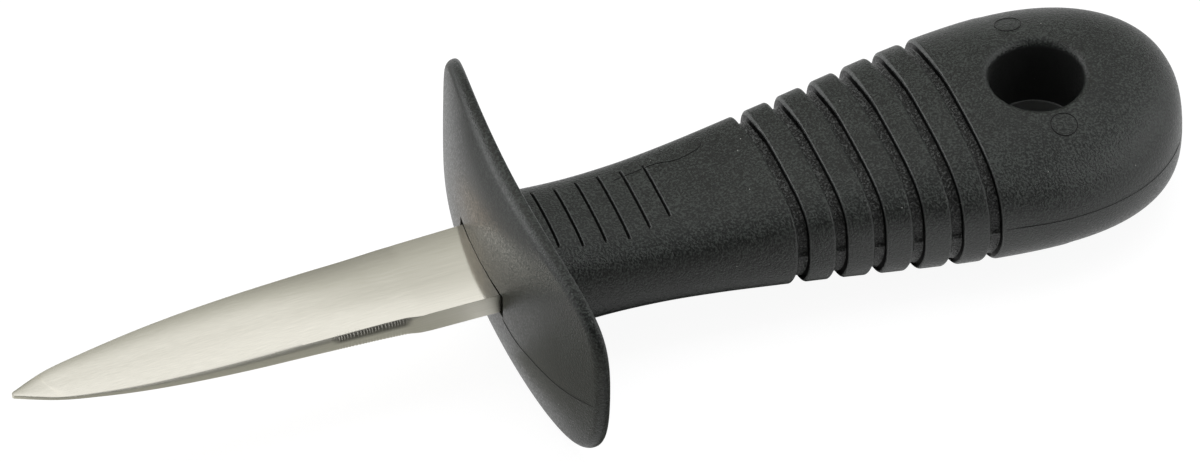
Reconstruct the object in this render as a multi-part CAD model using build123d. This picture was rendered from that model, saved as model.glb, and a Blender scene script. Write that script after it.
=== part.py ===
from build123d import *
import math
import os

# Oyster knife: a lancet blade whose hidden tang is moulded into a black handle with its own guard.
# +X runs from the tip to the butt, +Y across the blade, +Z up from its flat face.
# The origin is the centre of the hang hole, on the handle's parting plane. Lengths are millimetres.

# Whole knife
guard_to_hole = 78.0  # front of the guard to the centre of the hang hole
hole_to_butt = 19.4  # centre of the hang hole to the end of the butt
overrun = 20.0  # how far cutting tools reach past what they cut
tolerance = 0.02  # how near an edge must lie to the hang hole's wall to count as on it
surface_tolerance = 0.13  # and how near to the guard's curved surface

# Blade
blade_length = 64.7  # tip to the front of the guard
blade_width = 14.3
blade_thickness = 3.1
blade_rise = 1.3  # the blade's middle plane above the parting plane
ricasso_length = 10.0  # square-edged stretch in front of the guard
bevel_width = 0.7
face_crown = 0.3  # how far the middle of a ground face stands above its edges, where most
ricasso_crown = 0.16

# Tang
shoulder_depth = 5.5  # how far the full blade width runs on behind the guard's front
tang_length = 54.0  # from the guard's front
tang_width = 10.4
tang_end_width = 8.0
tang_corner = 1.5
notch_places = [19.0, 29.5, 40.0]  # from the guard's front
notch_width = 4.0
notch_depth = 1.6

# Handle body
grip_width = 37.0  # at the butt's widest place
grip_height = 19.7
widest_to_butt = 21.5  # from the widest section to the end of the butt

# Guard
guard_length = 58.8
guard_height = 29.2
guard_thickness = 1.9
guard_below_neck = 3.63  # how far the guard's lower edge lies below the neck's root
guard_sweep = 5.8  # how far its two ends lie back from its middle
guard_dome = 3.0  # how far its upper and lower edges lie back from its middle
guard_lean = 0.35  # how far its upper edge leans back, and its lower edge forward
guard_front_round = 1.0
guard_rear_chamfer = 0.5
guard_root_chamfer = 0.8
slot_clearance = 0.22  # open line round the blade where it leaves the guard
slot_depth = 1.2

# Grip grooves, rings right round the handle
groove_count = 6
groove_pitch = 5.0
groove_width = 1.2  # of its floor
groove_depth = 1.25
first_groove = 40.4  # from the guard's front
near_wall_lean = 0.2  # how far the wall nearer the guard leans back
far_wall_lean = 0.5  # how far the other one leans back, which softens each ridge's front edge

# Thumb grooves across the top of the neck
thumb_groove_count = 6
thumb_groove_pitch = 3.15
thumb_groove_width = 0.55
thumb_groove_depth = 0.4
thumb_groove_length = 11.6
first_thumb_groove = 9.25  # from the guard's front

# Hang hole
hang_hole_diameter = 13.2
hang_hole_chamfer = 0.9

# Places along X, from the origin at the hang hole
guard_x = -guard_to_hole
tip_x = guard_x - blade_length
grind_x = guard_x - ricasso_length
butt_x = hole_to_butt
widest_x = butt_x - widest_to_butt
grip_x = guard_x + first_groove - groove_width / 2 - near_wall_lean
last_groove_x = guard_x + first_groove + (groove_count - 1) * groove_pitch
butt_front_x = last_groove_x + groove_width / 2 + far_wall_lean

# Ground part of the blade. Each row stands at an even step from the ricasso to the tip: the width, edge
# thickness, crown and bevel as shares of the full ones, and the side band as a share of the edge.
ground_shares = [
    (1.000, 0.965, 0.72, 0.06, 0.97),
    (0.975, 0.905, 0.76, 0.50, 0.80),
    (0.950, 0.835, 0.82, 0.85, 0.66),
    (0.922, 0.76, 0.90, 0.92, 0.60),
    (0.898, 0.68, 0.95, 0.95, 0.58),
    (0.862, 0.59, 0.95, 0.98, 0.55),
    (0.806, 0.49, 0.85, 1.00, 0.51),
    (0.720, 0.38, 0.70, 0.93, 0.45),
    (0.585, 0.27, 0.50, 0.76, 0.40),
    (0.395, 0.17, 0.30, 0.52, 0.38),
    (0.060, 0.07, 0.05, 0.12, 0.40),
]

# Handle. Each row: share of the way from inside the guard to the widest section, then the width and
# height as shares of the grip's, and the fullness of the section's corners.
handle_shares = [
    (0.000, 0.503, 0.900, 0.73),
    (0.090, 0.497, 0.782, 0.77),
    (0.180, 0.508, 0.684, 0.81),
    (0.280, 0.541, 0.632, 0.85),
    (0.380, 0.583, 0.645, 0.89),
    (0.480, 0.636, 0.694, 0.91),
    (0.590, 0.708, 0.757, 0.90),
    (0.700, 0.796, 0.834, 0.86),
    (0.810, 0.889, 0.917, 0.80),
    (0.910, 0.962, 0.977, 0.74),
    (1.000, 1.000, 1.000, 0.70),
]
neck_bury = 0.05  # the neck starts this far inside the guard, where its lowest edge meets the dome
neck_root_width, neck_root_height = handle_shares[0][1] * grip_width, handle_shares[0][2] * grip_height
guard_rise = guard_height / 2 - neck_root_height / 2 - guard_below_neck  # its middle above the parting plane
neck_low_share = (neck_root_height / 2 + guard_rise) / (guard_height / 2)
handle_x = guard_x + guard_dome * neck_low_share**2 + neck_bury
neck_section_count = 6
first_facet_share = 0.586  # of a rim's radius, which makes three equal facets of the two chamfers
second_facet_share = 0.215

# Butt: shares of the way from the widest section to the end, on squared-off ovals in plan and side view.
butt_shares = [0.40, 0.68, 0.86, 0.95, 0.993]
butt_plan_squareness = 2.2
butt_side_squareness = 4.2
butt_fullness = 0.69

# Guard: how full its outline's corners are along each side, and where its plate is cut into slices.
guard_end_fullness = 0.90
guard_edge_fullness = 0.90
guard_slice_shares = [-1.1, -0.825, -0.55, -0.275, 0.0, 0.275, 0.55, 0.825, 1.1]  # of its half-length
guard_reach_share = 1.15  # of the guard's half-height, before its outline is cut


def oval_face(x, half_width, half_height, side_fullness, end_fullness):
    """A squared-off oval across the knife: four corners, each one Bezier curve."""
    corners = []
    for side_y, side_z in ((1, 1), (-1, 1), (-1, -1), (1, -1)):
        y = side_y * half_width
        z = side_z * half_height
        corner = [(x, y, 0), (x, y, side_fullness * z), (x, end_fullness * y, z), (x, 0, z)]
        if side_y != side_z:
            corner.reverse()
        corners.append(Bezier(*corner))
    return make_face(corners)


def round_with_facets(shape, rims, radius):
    """Three flat facets round the rims, which keep the mesh light where a fillet would not."""
    once = chamfer(rims, first_facet_share * radius)
    new_rims = new_edges(shape, combined=once).filter_by(lambda edge: edge.length > 2 * radius)
    return chamfer(new_rims, second_facet_share * radius)


def ground_section(x, half_width, edge_thickness, crown, bevel, band):
    """The ground blade cut across: crowned faces, bevels and a flat side band."""
    face_y = half_width - bevel
    edge_z = edge_thickness / 2
    band_z = band / 2
    corners = [
        (x, face_y, edge_z),
        (x, half_width, band_z),
        (x, half_width, -band_z),
        (x, face_y, -edge_z),
        (x, -face_y, -edge_z),
        (x, -half_width, -band_z),
        (x, -half_width, band_z),
        (x, -face_y, edge_z),
    ]
    edges = [Line(corners[i], corners[i + 1]) for i in (0, 1, 2)]
    edges.append(Bezier(corners[3], (x, 0, -edge_z - 2 * crown), corners[4]))
    edges += [Line(corners[i], corners[i + 1]) for i in (4, 5, 6)]
    edges.append(Bezier(corners[7], (x, 0, edge_z + 2 * crown), corners[0]))
    return make_face(edges)


def make_ground_part():
    """The part in front of the ricasso, thinning and narrowing to the tip."""
    sections = []
    for row, (width, thickness, crown, bevel, band) in enumerate(ground_shares):
        x = grind_x + row / (len(ground_shares) - 1) * (tip_x - grind_x)
        edge = thickness * blade_thickness
        half_width = width * blade_width / 2
        section = ground_section(x, half_width, edge, crown * face_crown, bevel * bevel_width, band * edge)
        sections.append(section)
    return loft(sections)


def tang_edge(place):
    """Half the tapered tang's width, at a distance from the guard's front."""
    taper = (place - shoulder_depth) / (tang_length - shoulder_depth)
    return (tang_width + taper * (tang_end_width - tang_width)) / 2


def make_tang():
    """Tapered bar with cut end corners and pairs of edge notches, which lock it in the plastic."""
    start = shoulder_depth / 2
    edge = [(start, tang_edge(start))]
    for place in notch_places:
        edge.append((place - notch_width / 2, tang_edge(place)))
        edge.append((place, tang_edge(place) - notch_depth))
        edge.append((place + notch_width / 2, tang_edge(place)))
    edge.append((tang_length - tang_corner, tang_end_width / 2))
    edge.append((tang_length, tang_end_width / 2 - tang_corner))
    other_edge = [(place, -y) for place, y in reversed(edge)]
    outline = make_face(Polyline(*edge, *other_edge, close=True))
    return Pos(guard_x, 0, 0) * extrude(outline, blade_thickness / 2, both=True)


def make_ricasso():
    """The square-edged stretch with slightly crowned faces, on to the tang's shoulders."""
    y = blade_width / 2
    z = blade_thickness / 2
    crown_z = z + 2 * ricasso_crown
    lower = Bezier((grind_x, y, -z), (grind_x, 0, -crown_z), (grind_x, -y, -z))
    upper = Bezier((grind_x, -y, z), (grind_x, 0, crown_z), (grind_x, y, z))
    section = make_face([lower, Line(lower @ 1, upper @ 0), upper, Line(upper @ 1, lower @ 0)])
    return extrude(section, ricasso_length + shoulder_depth, dir=(1, 0, 0))


def make_blade():
    """Ground lancet, ricasso and tang, in one piece of steel."""
    return Pos(0, 0, blade_rise) * (make_ground_part() + make_ricasso() + make_tang())


def between_rows(along, column):
    """A column of the handle's shares at any place, on a smooth curve through its rows."""
    places = [row[0] for row in handle_shares]
    values = [row[column] for row in handle_shares]
    last = len(places) - 1
    k = max(i for i in range(last) if places[i] <= max(along, 0))
    slopes = []
    for i in (k, k + 1):
        before = max(i - 1, 0)
        after = min(i + 1, last)
        slopes.append((values[after] - values[before]) / (places[after] - places[before]))
    if k + 1 == last:
        slopes[1] = 0
    step = places[k + 1] - places[k]
    t = (along - places[k]) / step
    start_part = values[k] * (1 + 2 * t) * (1 - t) ** 2 + slopes[0] * step * t * (1 - t) ** 2
    end_part = values[k + 1] * t**2 * (3 - 2 * t) + slopes[1] * step * t**2 * (t - 1)
    return start_part + end_part


def handle_section(x, inset=0.0):
    """The handle cut across at x, drawn in by the inset."""
    if x > widest_x:
        along = (x - widest_x) / widest_to_butt
        width = (1 - along**butt_plan_squareness) ** (1 / butt_plan_squareness)
        height = (1 - along**butt_side_squareness) ** (1 / butt_side_squareness)
        fullness = butt_fullness
    else:
        along = (x - handle_x) / (widest_x - handle_x)
        width, height, fullness = (between_rows(along, column) for column in (1, 2, 3))
    return oval_face(x, width * grip_width / 2 - inset, height * grip_height / 2 - inset, fullness, fullness)


def make_neck(inset=0.0):
    """From inside the guard to the first groove."""
    step = (grip_x - handle_x) / (neck_section_count - 1)
    return loft([handle_section(handle_x + k * step, inset) for k in range(neck_section_count)])


def groove_rows(middle):
    """Places and insets across one groove: two leaning walls and a flat floor."""
    near = middle - groove_width / 2
    far = middle + groove_width / 2
    return [
        (near - near_wall_lean, 0),
        (near, groove_depth),
        (far, groove_depth),
        (far + far_wall_lean, 0),
    ]


def make_ringed_grip():
    """Six ring grooves as one stack of straight-sided bands."""
    rows = []
    for k in range(groove_count):
        rows += groove_rows(guard_x + first_groove + k * groove_pitch)
    return loft([handle_section(x, inset) for x, inset in rows], ruled=True)


def make_butt():
    """From the last groove over the widest place to the rounded end."""
    places = [butt_front_x, widest_x]
    places += [widest_x + share * widest_to_butt for share in butt_shares]
    return loft([handle_section(x) for x in places])


def guard_front(y, z):
    """X of the guard's front surface: swept back at the ends, domed in the middle, leaning a little."""
    along = abs(y) / (guard_length / 2)
    across = z / (guard_height / 2)
    return guard_x + guard_sweep * along**2 + guard_dome * (1 - along**2) * across**2 + guard_lean * across


def guard_slice(y):
    """The guard's plate cut along the knife at y, higher than its outline will leave it."""
    reach = guard_reach_share * guard_height / 2
    lower, middle, upper = (guard_front(y, z) for z in (-reach, 0, reach))
    pull = 2 * middle - (lower + upper) / 2
    front = [(lower, y, -reach), (pull, y, 0), (upper, y, reach)]
    rear = [(x + guard_thickness, y, z) for x, y, z in front]
    sides = [Line(front[-1], rear[-1]), Line(rear[0], front[0])]
    return make_face([Bezier(*front), Bezier(*reversed(rear)), *sides])


def guard_rims(guard, shift):
    """The four edges of the guard's front, or with its thickness as the shift, of its rear."""

    def on_surface(edge):
        point = edge @ 0.5
        near = abs(point.X - shift - guard_front(point.Y, point.Z)) < surface_tolerance
        return near and edge.length > guard_height / 2

    return guard.edges().filter_by(on_surface)


def make_guard():
    """An oval cut out of a plate that is swept back at its ends and domed towards the blade."""
    plate = loft([guard_slice(share * guard_length / 2) for share in guard_slice_shares])
    outline = oval_face(
        guard_x - overrun, guard_length / 2, guard_height / 2, guard_end_fullness, guard_edge_fullness
    )
    guard = plate & extrude(outline, 2 * overrun, dir=(1, 0, 0))
    guard = round_with_facets(guard, guard_rims(guard, 0), guard_front_round)
    guard = chamfer(guard_rims(guard, guard_thickness), guard_rear_chamfer)
    return Pos(0, 0, guard_rise) * guard


def is_hole_mouth(edge):
    """True for an edge that runs round the hang hole, and not down its wall."""
    points = [edge @ 0, edge @ 0.5, edge @ 1]
    on_wall = all(abs(math.hypot(point.X, point.Y) - hang_hole_diameter / 2) < tolerance for point in points)
    return on_wall and abs(points[0].Z - points[2].Z) < hang_hole_diameter / 4


def cut_hang_hole(body):
    body -= Cylinder(hang_hole_diameter / 2, grip_height + overrun)
    mouths = body.edges().filter_by(is_hole_mouth)
    return chamfer(mouths, hang_hole_chamfer)


def cut_thumb_grooves(body):
    """Short shallow grooves, in the upper face of the neck only."""
    core = make_neck(thumb_groove_depth)
    upper_half = (Align.CENTER, Align.CENTER, Align.MIN)
    slab = Box(thumb_groove_width, thumb_groove_length, overrun, align=upper_half)
    for k in range(thumb_groove_count):
        body -= Pos(guard_x + first_thumb_groove + k * thumb_groove_pitch, 0, 0) * slab - core
    return body


def is_guard_root(edge):
    """True for an edge where the neck meets the guard's rear surface."""
    point = edge @ 0.5
    rear_x = guard_front(point.Y, point.Z - guard_rise) + guard_thickness
    on_surface = abs(point.X - rear_x) < surface_tolerance
    return on_surface and abs(point.Y) < neck_root_width / 2 and edge.length > neck_root_height / 2


def make_slot():
    """The open line round the blade where it leaves the guard."""
    forward = (Align.MIN, Align.CENTER, Align.CENTER)
    width = blade_width + 2 * slot_clearance
    height = blade_thickness + 2 * (ricasso_crown + slot_clearance)
    slot = Box(overrun + slot_depth, width, height, align=forward)
    return Pos(guard_x - overrun, 0, blade_rise) * slot


def make_handle(blade):
    """One moulding: guard, neck, ringed grip and butt, closed round the tang."""
    body = make_neck() + make_ringed_grip() + make_butt()
    body = cut_hang_hole(body)
    body += make_guard()
    body = chamfer(body.edges().filter_by(is_guard_root), guard_root_chamfer)
    body = cut_thumb_grooves(body)
    return body - make_slot() - blade


if __name__ == "__main__":
    os.makedirs("parts", exist_ok=True)
    blade = make_blade()
    handle = make_handle(blade)
    for name, piece in (("blade", blade), ("handle", handle)):
        export_step(piece, f"parts/{name}.step")
        print(f"{name}: {len(piece.solids())} solid, {piece.volume:.0f} mm3")
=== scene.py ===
import math

import bmesh
import bpy
from mathutils import Matrix, Vector
from mathutils.bvhtree import BVHTree


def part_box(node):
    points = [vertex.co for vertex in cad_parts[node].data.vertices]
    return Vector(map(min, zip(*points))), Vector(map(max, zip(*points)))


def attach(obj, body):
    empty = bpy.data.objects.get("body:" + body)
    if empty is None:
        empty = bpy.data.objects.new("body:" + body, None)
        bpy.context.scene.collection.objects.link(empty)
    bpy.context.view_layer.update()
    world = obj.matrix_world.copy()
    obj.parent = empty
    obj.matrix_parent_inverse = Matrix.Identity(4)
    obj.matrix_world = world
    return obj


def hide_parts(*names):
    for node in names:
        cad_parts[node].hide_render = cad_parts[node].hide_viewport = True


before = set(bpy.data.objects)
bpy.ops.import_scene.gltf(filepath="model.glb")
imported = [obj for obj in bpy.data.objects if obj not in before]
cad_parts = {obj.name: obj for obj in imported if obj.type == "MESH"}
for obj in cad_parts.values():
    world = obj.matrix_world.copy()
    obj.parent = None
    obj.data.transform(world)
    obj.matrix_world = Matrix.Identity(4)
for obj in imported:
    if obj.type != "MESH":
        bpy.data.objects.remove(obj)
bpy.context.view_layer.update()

mm = 0.001
nearZero = 0.001
print("frame loaded:", sorted(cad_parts))

# The CAD part sets the places along the knife. The origin is the centre of the hang hole.
handleLow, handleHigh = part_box("handle")
bladeLow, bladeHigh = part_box("blade")
guardX = handleLow.x / mm  # front of the guard
buttX = handleHigh.x / mm
guardMiddleZ = (handleLow.z + handleHigh.z) / 2 / mm
bladeMiddleZ = (bladeLow.z + bladeHigh.z) / 2 / mm
guardHalfLength = handleHigh.y / mm
guardHalfHeight = (handleHigh.z - handleLow.z) / 2 / mm
bladeWidth = (bladeHigh.y - bladeLow.y) / mm
bladeThickness = (bladeHigh.z - bladeLow.z) / mm


def smoothShare(rows, along, column, flat="start"):  # a smooth curve through one column of rows
    places = [row[0] for row in rows]
    values = [row[column] for row in rows]
    last = len(places) - 1
    k = max(i for i in range(last) if places[i] <= max(along, 0))
    slopes = []
    for i in (k, k + 1):
        before, after = max(i - 1, 0), min(i + 1, last)
        slopes.append((values[after] - values[before]) / (places[after] - places[before]))
    if flat == "end" and k + 1 == last:
        slopes[1] = 0
    if flat == "start" and k == 0:
        slopes[0] = 0
    step = places[k + 1] - places[k]
    t = (along - places[k]) / step
    startPart = values[k] * (1 + 2 * t) * (1 - t) ** 2 + slopes[0] * step * t * (1 - t) ** 2
    endPart = values[k + 1] * t * t * (3 - 2 * t) + slopes[1] * step * t * t * (t - 1)
    return startPart + endPart


def easeShare(value, low, high):  # 0 below low and 1 above high, with a smooth rise between them
    t = min(1.0, max(0.0, (value - low) / (high - low)))
    return t * t * (3 - 2 * t)


def cornerPoint(t, fullness):  # quarter of a squared-off oval, from (1, 0) to (0, 1)
    a, b, c, d = (1 - t) ** 3, 3 * t * (1 - t) ** 2, 3 * t * t * (1 - t), t**3
    return a + b + c * fullness, b * fullness + c + d


def ovalLoop(count, fullness):  # unit loop, count points in each quarter
    quarter = [cornerPoint(k / count, fullness) for k in range(count + 1)]
    loop = [(u, v) for u, v in quarter[:-1]]
    loop += [(-u, v) for u, v in reversed(quarter[1:])]
    loop += [(-u, -v) for u, v in quarter[:-1]]
    loop += [(u, -v) for u, v in reversed(quarter[1:])]
    return loop


def tubeFaces(rows, columns):  # the wall through rows of closed loops
    faces = []
    for r in range(rows - 1):
        for c in range(columns):
            d = (c + 1) % columns
            faces.append((r * columns + c, r * columns + d, (r + 1) * columns + d, (r + 1) * columns + c))
    return faces


def endFaces(rows, columns):  # one flat face on each end loop
    last = (rows - 1) * columns
    return [tuple(range(columns)), tuple(last + c for c in range(columns))]


def poleFaces(rows, columns):  # fans from the end loops to the two points that follow the rows
    faces = []
    last, pole = (rows - 1) * columns, rows * columns
    for c in range(columns):
        d = (c + 1) % columns
        faces.append((pole, d, c))
        faces.append((pole + 1, last + c, last + d))
    return faces


def makeObject(name, points, faces):  # points in millimetres
    mesh = bpy.data.meshes.new(name)
    mesh.from_pydata([Vector(p) * mm for p in points], [], faces)
    mesh.validate()
    worker = bmesh.new()
    worker.from_mesh(mesh)
    bmesh.ops.recalc_face_normals(worker, faces=worker.faces)
    worker.to_mesh(mesh)
    worker.free()
    made = bpy.data.objects.new(name, mesh)
    bpy.context.scene.collection.objects.link(made)
    return made


def addShares(obj, name, shares):  # one value for each point, which the material reads
    layer = obj.data.attributes.new(name, "FLOAT", "POINT")
    layer.data.foreach_set("value", shares)


def smoothBelow(obj, degrees):
    obj.data.shade_smooth()
    obj.data.set_sharp_from_angle(angle=math.radians(degrees))


def combine(base, other, operation):
    boolean = base.modifiers.new(operation, "BOOLEAN")
    boolean.operation = operation
    boolean.solver = "EXACT"
    boolean.object = other
    graph = bpy.context.evaluated_depsgraph_get()
    result = bpy.data.meshes.new_from_object(base.evaluated_get(graph))
    base.modifiers.clear()
    base.data = result
    bpy.data.objects.remove(other)


handleSizes = {  # millimetres, degrees and counts
    "gripWidth": 37.0,
    "gripHeight": 19.7,
    "widestToButt": 21.5,
    "buttFullness": 0.69,
    "buttPlanPower": 2.2,
    "buttSidePower": 4.2,
    "pointsPerQuarter": 44,
    "stationStep": 0.6,
    "buttStations": 44,
    "buttStationPower": 0.9,  # below 1 the stations crowd towards the butt's end
    "buttGap": 0.002,
    "nearlyButt": 0.9999,  # the section never quite closes
    "sharpAngle": 35,
    "halvings": 30,  # that find a height on the section's curve
}
ringGrooves = {  # round the grip
    "count": 6,
    "pitch": 5.0,
    "first": 40.75,  # behind the guard's front
    "width": 1.45,
    "depth": 1.25,
    "outlineDepth": 1.1,
    "lowerDepth": 0.85,
    "floorRound": 0.2,
    "frontRound": 0.22,
    "rearRound": 0.5,
    "outlineFrontRound": 0.55,  # the edges are softer round the outline
    "outlineRearRound": 0.5,
    "outlineShift": -0.55,
    "stationStep": 0.045,
    "stationReach": 0.75,  # how far past a groove's edges the stations stay close
    "stationRunIn": 0.5,
    "farSoftness": (0.62, 0.95),  # where the far edges turn crisp, as shares of the corner from side to top
    "nearSoftness": (0.05, 0.4),  # and where the near edges turn soft, from side to underside
}
thumbGrooves = {  # cut across the neck, with a steep wall towards the guard and a slope away from it
    "pitch": 3.15,
    "first": 9.25,
    "width": 0.44,
    "depth": 0.42,
    "wall": 0.06,
    "taper": 0.6,
    "ends": [(-5.6, 5.2), (-6.1, 5.3), (-6.1, 5.9), (-6.5, 6.2), (-5.6, 6.2), (-4.6, 6.0)],
    "stations": (-0.05, 0.0, 0.06, 0.12, 0.22, 0.34),  # from the wall's top
    "lipWidth": 0.12,  # the lip away from the guard catches the light
    "lipEnds": 0.3,
    "lipReach": 0.01,
    "markedDepth": 0.04,  # from here on a point counts as cut
}
hangHole = {
    "radius": 6.25,
    "round": 1.15,
    "roundAngle": 82,
    "roundSteps": 10,
    "step": 0.25,  # the lower half of the mould makes the hole a little narrower
    "stepHeight": -1.1,
    "points": 128,
    "wallTop": -1.6,  # below the handle's face
    "mouthRun": 1.2,
    "cutterTop": 6.0,
}
bladeSlot = {"clearance": 0.14, "sideClearance": 0.9, "depth": 1.2, "overrun": 5.0}

# Share of the way from inside the guard to the widest section, then width and height as shares of the
# grip's, and how full the section's corners are.
handleShares = [
    (0.000, 0.503, 0.900, 0.73),
    (0.090, 0.497, 0.782, 0.77),
    (0.180, 0.508, 0.684, 0.81),
    (0.280, 0.541, 0.632, 0.85),
    (0.380, 0.583, 0.645, 0.89),
    (0.480, 0.636, 0.694, 0.91),
    (0.590, 0.708, 0.757, 0.90),
    (0.700, 0.796, 0.834, 0.86),
    (0.810, 0.889, 0.917, 0.80),
    (0.910, 0.962, 0.977, 0.74),
    (1.000, 1.000, 1.000, 0.70),
]

guardSizes = {  # millimetres and counts
    "thickness": 1.9,
    "sweep": 5.8,
    "dome": 3.0,
    "flatterMiddle": 1.6,  # above the blade the front stays flat for longer and then curls back
    "lean": 0.35,
    "frontRound": 1.0,
    "rearRound": 0.75,
    "fullness": 0.90,
    "pointsPerQuarter": 60,
    "frontSteps": 8,
    "rearSteps": 6,
    "ringShares": [0.15, 0.3, 0.45, 0.6, 0.72, 0.82, 0.9, 0.96],
}

widestX = buttX - handleSizes["widestToButt"]
neckRootHeight = handleShares[0][2] * handleSizes["gripHeight"]
neckLowShare = (neckRootHeight / 2 + guardMiddleZ) / guardHalfHeight
neckInset = 0.05
neckX = guardX + guardSizes["dome"] * neckLowShare**2 + neckInset

grooveMarks = {  # grooveShare holds a point's depth in its ring groove, as a share, or one of the first two
    "thumbCut": 0.6,
    "thumbLip": -1.0,
    "thumbLipLimit": -0.4,  # the material takes what is below it as lip
    "edge": 0.01,  # where the shares of edge, wall and floor begin
    "wall": 0.3,
    "floor": 0.93,
}


def sectionAt(x):  # half-width, half-height and fullness of the handle's section
    size = handleSizes
    if x > widestX:
        along = min((x - widestX) / size["widestToButt"], size["nearlyButt"])
        width = (1 - along ** size["buttPlanPower"]) ** (1 / size["buttPlanPower"])
        height = (1 - along ** size["buttSidePower"]) ** (1 / size["buttSidePower"])
        fullness = size["buttFullness"]
    else:
        along = (x - neckX) / (widestX - neckX)
        width, height, fullness = (smoothShare(handleShares, along, column, "end") for column in (1, 2, 3))
    return width * size["gripWidth"] / 2, height * size["gripHeight"] / 2, fullness


def topHeight(x, y):  # Z of the handle's upper surface, grooves left out
    halfWidth, halfHeight, fullness = sectionAt(x)
    low, high = 0.0, 1.0
    target = min(abs(y) / halfWidth, 1.0)
    for halving in range(handleSizes["halvings"]):
        middle = (low + high) / 2
        if cornerPoint(middle, fullness)[0] > target:
            low = middle
        else:
            high = middle
    return halfHeight * cornerPoint(low, fullness)[1]


def ringGrooveMiddles():
    size = ringGrooves
    return [guardX + size["first"] + k * size["pitch"] for k in range(size["count"])]


def thumbGrooveStarts():
    size = thumbGrooves
    middles = [guardX + size["first"] + k * size["pitch"] for k in range(len(size["ends"]))]
    return [middle - size["width"] / 2 for middle in middles]


def bodyStations():  # places along the knife, closest together at the grooves and the butt's end
    size, thumb, ring = handleSizes, thumbGrooves, ringGrooves
    stations = []

    def run(start, end, step):
        count = max(1, round((end - start) / step))
        stations.extend(start + (end - start) * k / count for k in range(count))

    place = neckX
    for start in thumbGrooveStarts():
        run(place, start + thumb["stations"][0], size["stationStep"])
        stations.extend(start + offset for offset in thumb["stations"])
        stations.append(start + thumb["width"])
        place = start + thumb["width"] + thumb["lipWidth"]
    for middle in ringGrooveMiddles():
        reach = ring["width"] / 2 + ring["stationReach"]
        run(place, middle - reach - ring["stationRunIn"], size["stationStep"])
        run(middle - reach - ring["stationRunIn"], middle + reach, ring["stationStep"])
        place = middle + reach
    run(place, widestX, size["stationStep"])
    for k in range(size["buttStations"]):
        share = math.sin(math.pi / 2 * k / size["buttStations"]) ** size["buttStationPower"]
        stations.append(widestX + share * size["widestToButt"])
    stations.append(buttX - size["buttGap"])
    return stations


def roundedEdge(distance, radius):  # how far a rounded edge lies below the face, at a distance from its wall
    return radius - math.sqrt(max(0.0, radius**2 - (radius - distance) ** 2)) if distance < radius else 0.0


def grooveInset(x, softness, low):  # softness is 0 where the edges are crisp and 1 where they are round
    size = ringGrooves
    depth = size["depth"] + softness * (size["outlineDepth"] - size["depth"])
    depth += low * (size["lowerDepth"] - depth)
    front = size["frontRound"] + softness * (size["outlineFrontRound"] - size["frontRound"])
    rear = size["rearRound"] + softness * (size["outlineRearRound"] - size["rearRound"])
    half = size["width"] / 2
    inset = 0.0
    for middle in ringGrooveMiddles():
        away = x - middle - softness * size["outlineShift"]
        if abs(away) < half:
            corner = roundedEdge(half - abs(away), size["floorRound"])
            return max(min(depth - corner, depth), 0.0)
        inset = max(inset, roundedEdge(abs(away) - half, rear if away < 0 else front))
    return min(inset, depth)


def thumbCut(x, y):  # depth of the thumb grooves
    size = thumbGrooves
    for (low, high), start in zip(size["ends"], thumbGrooveStarts()):
        across = x - start
        if 0.0 < across < size["width"]:
            ends = easeShare(min(y - low, high - y), 0.0, size["taper"])
            wall = size["wall"]
            profile = across / wall if across < wall else 1 - (across - wall) / (size["width"] - wall)
            return size["depth"] * profile * ends
    return 0.0


def onThumbLip(x, y):
    size = thumbGrooves
    for (low, high), start in zip(size["ends"], thumbGrooveStarts()):
        if abs(x - start - size["width"]) < size["lipReach"]:
            return low + size["lipEnds"] < y < high - size["lipEnds"]
    return False


def edgeSoftness(index, count):  # crisp on the faces between top and near side, soft round the outline
    quarter, t = index // count, (index % count) / count
    if quarter == 0:  # far upper corner, from the side to the top
        return 1 - easeShare(t, *ringGrooves["farSoftness"])
    if quarter == 1:  # near upper corner, from the top to the side
        return 0.0
    if quarter == 2:  # near lower corner, from the side to the underside
        return easeShare(t, *ringGrooves["nearSoftness"])
    return 1.0


def makeBody():
    stations = bodyStations()
    count = handleSizes["pointsPerQuarter"]
    columns = 4 * count
    softness = [edgeSoftness(k, count) for k in range(columns)]
    points, shares = [], []
    for x in stations:
        halfWidth, halfHeight, fullness = sectionAt(x)
        insets = {}
        for k, (u, v) in enumerate(ovalLoop(count, fullness)):
            key = (softness[k], v < -nearZero)
            if key not in insets:
                insets[key] = grooveInset(x, *key)
            inset = insets[key]
            depth = ringGrooves["lowerDepth"] if v < 0 else ringGrooves["outlineDepth"]
            share = min(1.0, inset / depth)
            y, z = (halfWidth - inset) * u, (halfHeight - inset) * v
            if z > 0:
                cut = thumbCut(x, y)
                z -= cut
                if onThumbLip(x, y):
                    share = grooveMarks["thumbLip"]
                elif cut > thumbGrooves["markedDepth"]:
                    share = grooveMarks["thumbCut"]
            points.append((x, y, z))
            shares.append(share)
    points += [(stations[0], 0, 0), (buttX, 0, 0)]
    faces = tubeFaces(len(stations), columns) + poleFaces(len(stations), columns)
    body = makeObject("handleMoulding", points, faces)
    addShares(body, "grooveShare", shares + [0.0, 0.0])
    return body


def guardFront(y, z):  # X of the guard's front, swept back at its ends and domed across
    size = guardSizes
    along, across = abs(y) / guardHalfLength, z / guardHalfHeight
    sweep = size["sweep"] * along**2
    power = 2 + (size["flatterMiddle"] * (1 - along**2) ** 2 if across > 0 else 0.0)
    dome = size["dome"] * (1 - along**2) * abs(across) ** power
    return guardX + sweep + dome + size["lean"] * across


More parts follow.
